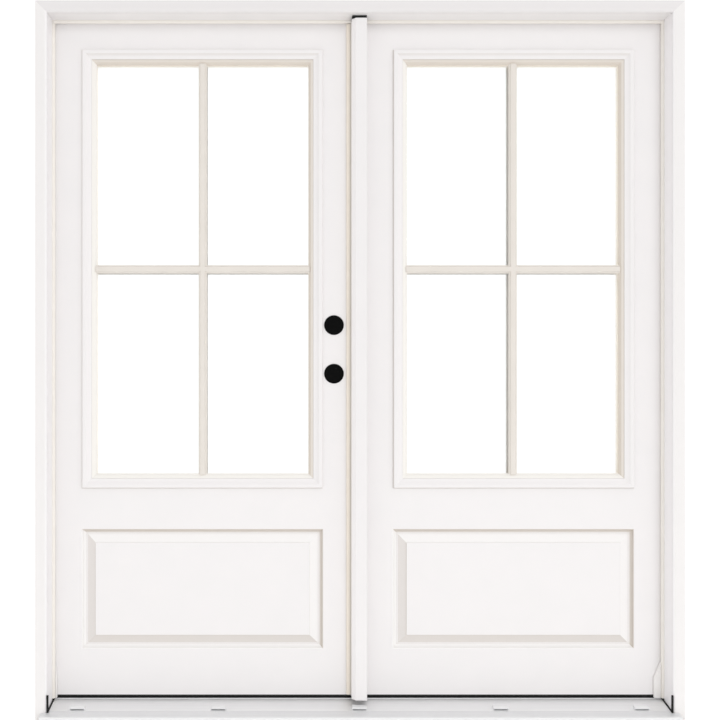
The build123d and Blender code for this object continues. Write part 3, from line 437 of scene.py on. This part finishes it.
def add_fin(seal, across, near, far):
    """Splits the seal's outdoor side along two planes and draws the fin out of the strip between."""
    for cut in (near, far):
        slice_across(seal, across * cut, across)
    lane = sorted((near, far))
    pick(
        seal,
        "FACE",
        lambda middle, normal: normal.y < -SQUARE_ON and lane[0] < middle.dot(across) < lane[1],
    )
    bpy.ops.mesh.extrude_region_move(TRANSFORM_OT_translate={"value": (0, -SEAL_FIN * MM, 0)})


beige_foam = skinned_foam("beige_skinned_foam", "#f6f2ec", "#efeae2")
seal_low, seal_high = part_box("jamb_seals")
half_width = cad_box[1][0]
unit_top = cad_box[1][2]
bulb_front = seal_low.y + SEAL_FIN * MM
for word, side in (("left", -1), ("right", 1)):
    outer = side * seal_high.x
    inner = side * (seal_high.x - SEAL_WIDTH * MM)
    seal = block(
        f"{word}_jamb_seal",
        (min(outer, inner), bulb_front, seal_low.z),
        (max(outer, inner), seal_high.y, unit_top),
    )
    pick(
        seal,
        "EDGE",
        lambda a, b: all(abs(p.x - inner) < MM for p in (a, b)) and abs(a.z - b.z) > 1.0,
    )
    bpy.ops.mesh.bevel(offset=SEAL_ROUND * MM, segments=6)
    fin_near = outer - side * FIN_START * MM
    add_fin(seal, Vector((1, 0, 0)), fin_near, fin_near - side * FIN_WIDTH * MM)
    slice_across(seal, (side * half_width, 0, unit_top), (-side, 0, 1), clear_outer=True)
    done(seal, beige_foam, "frame", "seal_beige", "jamb_seals")

head_seal_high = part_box("head_seal")[1]
free_end = head_seal_high.z - SEAL_WIDTH * MM
seal = block(
    "head_seal_foam",
    (-half_width, bulb_front, free_end),
    (half_width, head_seal_high.y, head_seal_high.z),
)
pick(
    seal,
    "EDGE",
    lambda a, b: all(abs(p.z - free_end) < MM for p in (a, b)) and abs(a.x - b.x) > 1.0,
)
bpy.ops.mesh.bevel(offset=SEAL_ROUND * MM, segments=6)
fin_near = head_seal_high.z - FIN_START * MM
add_fin(seal, Vector((0, 0, 1)), fin_near, fin_near - FIN_WIDTH * MM)
for side in (-1, 1):
    slice_across(seal, (side * half_width, 0, unit_top), (-side, 0, 1), clear_inner=True)
# Painted light: the head seal's foam is a lighter copy of the jamb seals' foam, to offset the shade under
# the head.
head_foam = skinned_foam("beige_skinned_head_foam", "#faf5ef", "#f3eee7")
done(seal, head_foam, "frame", "seal_beige", "head_seal")

# Corner pads: wedges of a paler foam in the same skin, stuck on beside the jamb seals where leaf, jamb
# and sill meet. They taper upwards, and their edges are soft.

PAD_TAPER = 45.0
PAD_EDGE = 2.0

pale_foam = skinned_foam("pale_skinned_foam", "#f3f1ef", "#ece9e6")
pad_low, pad_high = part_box("corner_pads")
pad_spans = []
for word, side in (("left", -1), ("right", 1)):
    reach = [side * v.co.x for v in parts["corner_pads"].data.vertices if side * v.co.x > 0]
    pad_spans.append((word, side * min(reach), side * max(reach)))
for word, inner, outer in pad_spans:
    pad = block(
        f"{word}_corner_pad",
        (min(inner, outer), pad_low.y, pad_low.z),
        (max(inner, outer), pad_high.y, pad_high.z),
    )
    pick(
        pad,
        "EDGE",
        lambda a, b: all(p.z > pad_high.z - MM and abs(p.x - inner) < MM for p in (a, b)),
    )
    bpy.ops.transform.translate(value=(0, 0, -PAD_TAPER * MM))
    pick(pad, "EDGE", lambda a, b: True)
    bpy.ops.mesh.bevel(offset=PAD_EDGE * MM, segments=4)
    done(pad, pale_foam, "frame", "seal_beige", "corner_pads")

# Head pad: a block of the gaskets' black rubber that fills the space between the astragal's post and
# the head. Its cut edges are soft.

HEAD_PAD_EDGE = 1.2

pad_low, pad_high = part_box("head_pad")
head_pad = block("astragal_head_pad", pad_low, pad_high)
pick(head_pad, "EDGE", lambda a, b: True)
bpy.ops.mesh.bevel(offset=HEAD_PAD_EDGE * MM, segments=3)
done(head_pad, black_rubber, "frame", "seal_black", "head_pad")

# Hinges, pins and strikes: steel, stamped and rolled, plated in satin nickel and brushed lengthways.
# The brushing shows as fine upright lines that spread the highlight on the knuckles. Bolts, strikes
# and screws are plated in bluish zinc and left unbrushed.

BRUSH_LINE = 0.8


def brushed_plating(name, light, dark, rough, stretch):
    """Plated steel: a clear metal shine, broken by fine lines along the stretched axis."""
    finish, tree, shader, place = new_finish(name)
    stretched = put(tree, "Mapping", {"Vector": place, "Scale": stretch}).outputs["Vector"]
    brush_scale = 1 / (BRUSH_LINE * MM)
    lines = put(tree, "TexNoise", {"Vector": stretched, "Scale": brush_scale, "Detail": 2.0}).outputs["Fac"]
    tone = put(tree, "Mix", {"Factor": lines, "A": linear(dark), "B": linear(light)}, data_type="RGBA")
    tree.links.new(tone.outputs[2], shader.inputs["Base Color"])
    sheen = put(tree, "MapRange", {"Value": lines, "To Min": rough - 0.06, "To Max": rough + 0.06})
    tree.links.new(sheen.outputs["Result"], shader.inputs["Roughness"])
    bump = put(tree, "Bump", {"Height": lines, "Strength": 0.25, "Distance": 0.02 * MM})
    tree.links.new(bump.outputs["Normal"], shader.inputs["Normal"])
    shader.inputs["Metallic"].default_value = 1.0
    return finish


nickel = brushed_plating("satin_nickel_plated_steel", "#c6c0b7", "#b2aca3", 0.34, (1.0, 1.0, 0.03))
zinc = brushed_plating("zinc_plated_steel", "#c9ccd0", "#b4b7bb", 0.4, (1.0, 1.0, 1.0))
coat(nickel, "left_jamb_hinge_plates", "right_jamb_hinge_plates", "hinge_pins")
coat(nickel, "left_leaf_hinge_plates", "right_leaf_hinge_plates")
coat(zinc, "bolt_strikes", "top_bolt", "bottom_bolt")
coat(zinc, "frame_screws", "jamb_hinge_screws", "left_leaf_hinge_screws", "right_leaf_hinge_screws")
coat(zinc, "left_lite_screws", "right_lite_screws")

# Leaf skins: sheets of moulded fibreglass with the raised panel pressed into them, painted white.
# The surface is smooth and satin, with a very fine orange peel. A warm painted shade lies in the panel's
# grooves and on the slopes that face down or left, away from the light on the upper right, and painted light
# lies on the slopes that face up or right.

GROOVE_REACH = 16.0
GROOVE_SHUT = 0.6
GROOVE_OPEN = 0.97
LIGHT_SIDE = (0.8, 0.0, 1.0)
UNLIT_BELOW = -0.1
LIT_FROM = 0.02
LIT_FULL = 0.25
LIT_GROOVE_SHADE = 0.1
SLOPE_SHADE = 0.75
SLOPE_BAND = 0.35


def paint_light_and_shade(finish, shade_colour, highlight_colour, grooves, slope):
    """Paints shade into grooves and onto slopes that face down or left, and paints light onto those that
    face up or right.

    grooves is the share of painted shade in a groove, and slope is how steep a slope has to be to keep any.
    """
    tree = finish.node_tree
    colour = tree.nodes["Principled BSDF"].inputs["Base Color"]
    # Painted shade in grooves and creases, where little light reaches.
    shut = put(tree, "AmbientOcclusion", {"Distance": GROOVE_REACH * MM}, samples=8, only_local=True)
    hollow = put(
        tree,
        "MapRange",
        {
            "Value": shut.outputs["AO"],
            "From Min": GROOVE_SHUT,
            "From Max": GROOVE_OPEN,
            "To Min": grooves,
            "To Max": 0.0,
        },
    )
    facing = put(tree, "TexCoord").outputs["Normal"]
    rise = put(tree, "VectorMath", {0: facing, 1: LIGHT_SIDE}, operation="DOT_PRODUCT").outputs["Value"]
    unlit = put(
        tree,
        "MapRange",
        {"Value": rise, "From Min": UNLIT_BELOW, "From Max": LIT_FULL, "To Min": 1.0, "To Max": LIT_GROOVE_SHADE},
    )
    kept = put(tree, "Math", {0: hollow.outputs["Result"], 1: unlit.outputs["Result"]}, operation="MULTIPLY")
    under = put(
        tree,
        "MapRange",
        {
            "Value": rise,
            "From Min": -slope - SLOPE_BAND,
            "From Max": -slope,
            "To Min": SLOPE_SHADE,
            "To Max": 0.0,
        },
    )
    share = put(tree, "Math", {0: kept.outputs["Value"], 1: under.outputs["Result"]}, operation="MAXIMUM")
    # Painted light on faces turned up and right, towards the softbox.
    lit = put(tree, "MapRange", {"Value": rise, "From Min": LIT_FROM, "From Max": LIT_FULL})
    highlighted = put(
        tree,
        "Mix",
        {"Factor": lit.outputs["Result"], "A": colour.links[0].from_socket, "B": linear(highlight_colour)},
        data_type="RGBA",
    )
    shaded = put(
        tree,
        "Mix",
        {"Factor": share.outputs["Value"], "A": highlighted.outputs[2], "B": linear(shade_colour)},
        data_type="RGBA",
    )
    tree.links.new(shaded.outputs[2], colour)


leaf_paint = sprayed_paint("painted_moulded_fibreglass", "#efecec", "#ebe9e9", 0.48, 0.04)
# The leaf's grooves and down- or left-facing slopes are painted darker, as painted shade, and its up- or
# right-facing slopes lighter, as painted light.
paint_light_and_shade(leaf_paint, "#bfb4a7", "#f3f1f0", 1.0, 0.05)
coat(leaf_paint, "left_outer_skin", "left_inner_skin", "right_outer_skin", "right_inner_skin")

# Frames of the glazed lights: two moulded plastic halves, screwed together from indoors round the glass.
# The same white as the leaf, with the slightly denser gloss of bare plastic.

lite_plastic = moulded_plastic("moulded_white_polymer", "#eeebeb", "#eae8e8", 0.34, 0.02)
# The lights' frames take the same painted shade in their creases and on slopes facing down or left, and
# painted light on slopes facing up or right.
paint_light_and_shade(lite_plastic, "#c5bdb3", "#efecec", 0.3, 0.4)
coat(lite_plastic, "left_outer_lite_frame", "left_inner_lite_frame")
coat(lite_plastic, "right_outer_lite_frame", "right_inner_lite_frame")

# Glazing bars: crosses of extruded plastic in a warmer white, stuck to both faces of the glass.
# They look a little creamy beside the cold white of the leaf.

bar_plastic = moulded_plastic("extruded_warm_white_plastic", "#e6e0d9", "#ded8d0", 0.38, 0.02)
coat(bar_plastic, "left_outer_bars", "left_inner_bars", "right_outer_bars", "right_inner_bars")

# Glazing beads: thin strips of the same warm plastic, mitred, that run round each light inside its outdoor
# frame and slope down to the glass over the tape. Given by how far in and how deep their edges lie.

BEAD_EDGES = ((27.9, 0.45), (34.2, 2.4), (36.7, 4.4), (41.2, 9.1))
BEAD_WALL = 0.3

bead_plastic = moulded_plastic("extruded_bead_plastic", "#f0ece7", "#e9e4de", 0.36, 0.02)
# The beads take the same painted shade and painted light.
paint_light_and_shade(bead_plastic, "#cfc4b7", "#f2efea", 1.0, 0.05)
for word in ("left", "right"):
    frame_low, frame_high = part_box(f"{word}_outer_lite_frame")
    span = frame_high - frame_low
    middle = (frame_low + frame_high) / 2
    leaf_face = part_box(f"{word}_outer_skin")[0].y
    inset, depth = BEAD_EDGES[0]
    bpy.ops.object.select_all(action="DESELECT")
    bpy.ops.mesh.primitive_plane_add(
        size=1.0,
        location=(middle.x, leaf_face + depth * MM, middle.z),
        rotation=(math.radians(90), 0, 0),
    )
    bead = bpy.context.object
    bead.name = f"{word}_glazing_bead"
    bead.data.name = bead.name
    bead.scale = (span.x - 2 * inset * MM, span.z - 2 * inset * MM, 1.0)
    bpy.ops.object.transform_apply(location=True, rotation=True, scale=True)
    bpy.ops.object.mode_set(mode="EDIT")
    bpy.ops.mesh.select_all(action="SELECT")
    for far_in, deep in BEAD_EDGES[1:]:
        bpy.ops.mesh.inset(thickness=(far_in - inset) * MM, depth=-(deep - depth) * MM)
        inset, depth = far_in, deep
    bpy.ops.mesh.delete(type="FACE")
    bpy.ops.object.mode_set(mode="OBJECT")
    wall = bead.modifiers.new("wall", "SOLIDIFY")
    wall.thickness = BEAD_WALL * MM
    bpy.ops.object.modifier_apply(modifier=wall.name)
    bead.data.materials.append(bead_plastic)
    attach(bead, f"{word}_leaf")

# Glass: two clear float panes with a beige coated spacer between them and pale tape at the lips.
# The panes are nearly invisible, let the room's light through to the spacer and take a faint cool tint.
# The tape is translucent. The light it would carry in from its edges is painted light, a weak glow.

GLASS_CLOUD = 667.0
PANE_COVER = 0.25
PANE_SHADE = 0.03
TAPE_GLOW = 0.4

clear_glass, tree, shader, place = new_finish("clear_float_glass")
tint_scale = 1 / (GLASS_CLOUD * MM)
cloud = put(tree, "TexNoise", {"Vector": place, "Scale": tint_scale, "Detail": 1.0}).outputs["Fac"]
tint = put(tree, "Mix", {"Factor": cloud, "A": linear("#f6fbfa"), "B": linear("#fbfefd")}, data_type="RGBA")
tree.links.new(tint.outputs[2], shader.inputs["Base Color"])
shader.inputs["Roughness"].default_value = 0.0
shader.inputs["Transmission Weight"].default_value = 1.0
shader.inputs["IOR"].default_value = 1.5
fill = put(tree, "LightPath")
passed = put(
    tree,
    "Math",
    {0: fill.outputs["Is Shadow Ray"], 1: fill.outputs["Is Diffuse Ray"]},
    operation="MAXIMUM",
)
cover = put(tree, "MapRange", {"Value": passed.outputs["Value"], "To Min": PANE_COVER, "To Max": PANE_SHADE})
tree.links.new(cover.outputs["Result"], shader.inputs["Alpha"])
coat(clear_glass, "left_glass_panes", "right_glass_panes")
spacer_coat = moulded_plastic("beige_coated_spacer", "#f0e6d9", "#e9dfd1", 0.5, 0.02)
coat(spacer_coat, "left_glass_spacer", "right_glass_spacer")
glazing_tape = cellular_rubber("pale_glazing_tape", "#f4efe8", "#ebe5dc", 0.8)
tape_shader = glazing_tape.node_tree.nodes["Principled BSDF"]
tape_shader.inputs["Emission Color"].default_value = linear("#f0e6d9")
tape_shader.inputs["Emission Strength"].default_value = TAPE_GLOW
coat(glazing_tape, "left_glazing_seals", "right_glazing_seals")

# Stiles, rails and core: bare softwood round a block of poured foam, all hidden between the skins but
# for the wood in the lock bores and along the leaf's edges. The wood shows warm grain lines that wander
# a little, and the foam is dull yellow with fine cells.

GRAIN_WIDTH = 4.0
GRAIN_STRETCH = 0.06
GRAIN_WANDER = 83.3
GRAIN_BEND = 0.02
# Width of one band of the wave texture at a scale of 1.
WAVE_BAND = 0.314

softwood, tree, shader, place = new_finish("bare_pine")
along = put(tree, "Mapping", {"Vector": place, "Scale": (1.0, 1.0, GRAIN_STRETCH)}).outputs["Vector"]
wander_scale = 1 / (GRAIN_WANDER * MM)
bend = put(tree, "TexNoise", {"Vector": along, "Scale": wander_scale, "Detail": 3.0}).outputs["Color"]
warped = put(tree, "Mix", {"Factor": GRAIN_BEND, "A": along, "B": bend}, data_type="VECTOR").outputs[1]
rings = put(
    tree,
    "TexWave",
    {"Vector": warped, "Scale": WAVE_BAND / (GRAIN_WIDTH * MM), "Distortion": 1.5, "Detail": 2.0},
    wave_type="BANDS",
    bands_direction="X",
).outputs["Fac"]
tone = put(tree, "Mix", {"Factor": rings, "A": linear("#c69c6a"), "B": linear("#e0bf8f")}, data_type="RGBA")
tree.links.new(tone.outputs[2], shader.inputs["Base Color"])
shader.inputs["Roughness"].default_value = 0.65
for word in ("left", "right"):
    for member in ("hinge_stile", "lock_stile", "top_rail", "bottom_rail"):
        coat(softwood, f"{word}_{member}")
core_foam = cellular_rubber("poured_polyurethane_foam", "#e8dfae", "#d8cd98", 0.9)
coat(core_foam, "left_foam_core", "right_foam_core")

# Sweeps: black vinyl pressed onto the leaf's bottom edge, a flat plate with three thin fins that drag
# on the cap. The fins thin out towards their tips and lean, the way they set after some use: all indoors
# but the last one, which is pressed back.

SWEEP_FINS = 3
FIN_TIP = 0.5
FIN_LEAN = 0.7
LEAN_SHARES = (0.3, 0.7)
SWEEP_PLATE = 2.5
SWEEP_FIN = 2.4

black_vinyl = moulded_plastic("black_soft_vinyl", "#161616", "#101010", 0.5, 0.02)
for word in ("left", "right"):
    low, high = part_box(f"{word}_sweep")
    plate_low = high.z - SWEEP_PLATE * MM
    drop = (plate_low - low.z) / len(LEAN_SHARES)
    strip = block(f"{word}_sweep_strip", (low.x, low.y, plate_low), high)
    pitch = (high.y - low.y - SWEEP_FIN * MM) / (SWEEP_FINS - 1)
    roots = [low.y + number * pitch for number in range(SWEEP_FINS)]
    for root in roots:
        for edge_y in (root, root + SWEEP_FIN * MM):
            if low.y + 0.1 * MM < edge_y < high.y - 0.1 * MM:
                slice_across(strip, (0, edge_y, 0), (0, 1, 0))
    for root in roots:
        pick(
            strip,
            "FACE",
            lambda middle, normal: normal.z < -SQUARE_ON and root < middle.y < root + SWEEP_FIN * MM,
        )
        lean = FIN_LEAN * MM if root < roots[-1] else -FIN_LEAN * MM
        for share in LEAN_SHARES:
            bpy.ops.mesh.extrude_region_move(TRANSFORM_OT_translate={"value": (0, lean * share, -drop)})
            bpy.ops.transform.resize(value=(1, FIN_TIP ** 0.5, 1))
    done(strip, black_vinyl, f"{word}_leaf", "seal_black", f"{word}_sweep")

# Bore covers: thin discs turned from black plastic, stuck over the outdoor mouths of the lock bores.
# They are matt and take almost no reflection, so they read as holes.

COVER_REFLECTION = 0.08

cover_plastic = moulded_plastic("matt_black_plastic", "#0a0a0a", "#070707", 0.75, 0.02)
cover_shader = cover_plastic.node_tree.nodes["Principled BSDF"]
cover_shader.inputs["Specular IOR Level"].default_value = COVER_REFLECTION
coat(cover_plastic, "bore_covers")

# Astragal: an extruded post outdoors and a stem between the leaves, white right through. The post's flank
# that faces left is painted lighter than its face, as painted light.

post_plastic = moulded_plastic("white_extruded_polymer", "#edeaea", "#e9e7e7", 0.34, 0.02)
# Painted light: faces turned left are painted lighter.
paint_side_shading(post_plastic, (-1.0, 0.0, 0.0), "#f3f0f0")
coat(post_plastic, "astragal_post", "astragal_stem")

# Astragal seal: a strip of the same skinned foam in tan, held by its fin in the post's kerf, and the first
# leaf closes on it. The strip is painted darker along the post, as painted shade in the crease where the
# post meets it.

ASTRAGAL_FIN = 9.0
STRIP_ROUND = 3.8
SEAM_SHADE = 5.0

tan_foam = skinned_foam("tan_skinned_foam", "#f6eee2", "#ece2d4")
tree = tan_foam.node_tree
colour = tree.nodes["Principled BSDF"].inputs["Base Color"]
post_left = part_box("astragal_post")[0].x
across = put(tree, "SeparateXYZ", {"Vector": put(tree, "TexCoord").outputs["Object"]}).outputs["X"]
# Painted shade: a darker band on the foam along the post's side.
seam_shade = put(
    tree,
    "MapRange",
    {
        "Value": across,
        "From Min": post_left - SEAM_SHADE * MM,
        "From Max": post_left - SEAM_SHADE * MM / 2,
    },
)
shaded_seam = put(
    tree,
    "Mix",
    {"Factor": seam_shade.outputs["Result"], "A": colour.links[0].from_socket, "B": linear("#cfc9bf")},
    data_type="RGBA",
)
tree.links.new(shaded_seam.outputs[2], colour)
foam_low, foam_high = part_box("astragal_seal")
foam = block("astragal_foam", (foam_low.x, foam_low.y + ASTRAGAL_FIN * MM, foam_low.z), foam_high)
pick(
    foam,
    "EDGE",
    lambda a, b: all(abs(p.x - foam_low.x) < MM for p in (a, b)) and abs(a.z - b.z) > 1.0,
)
bpy.ops.mesh.bevel(offset=STRIP_ROUND * MM, segments=5)
fin_right = max(v.co.x for v in parts["astragal_seal"].data.vertices if v.co.y < foam_low.y + MM)
fin_left = fin_right - FIN_WIDTH * MM
for cut in (fin_left, fin_right):
    slice_across(foam, (cut, 0, 0), (1, 0, 0))
pick(
    foam,
    "FACE",
    lambda middle, normal: normal.y < -SQUARE_ON and fin_left < middle.x < fin_right,
)
bpy.ops.mesh.extrude_region_move(TRANSFORM_OT_translate={"value": (0, -ASTRAGAL_FIN * MM, 0)})
done(foam, tan_foam, "right_leaf", "seal_tan", "astragal_seal")
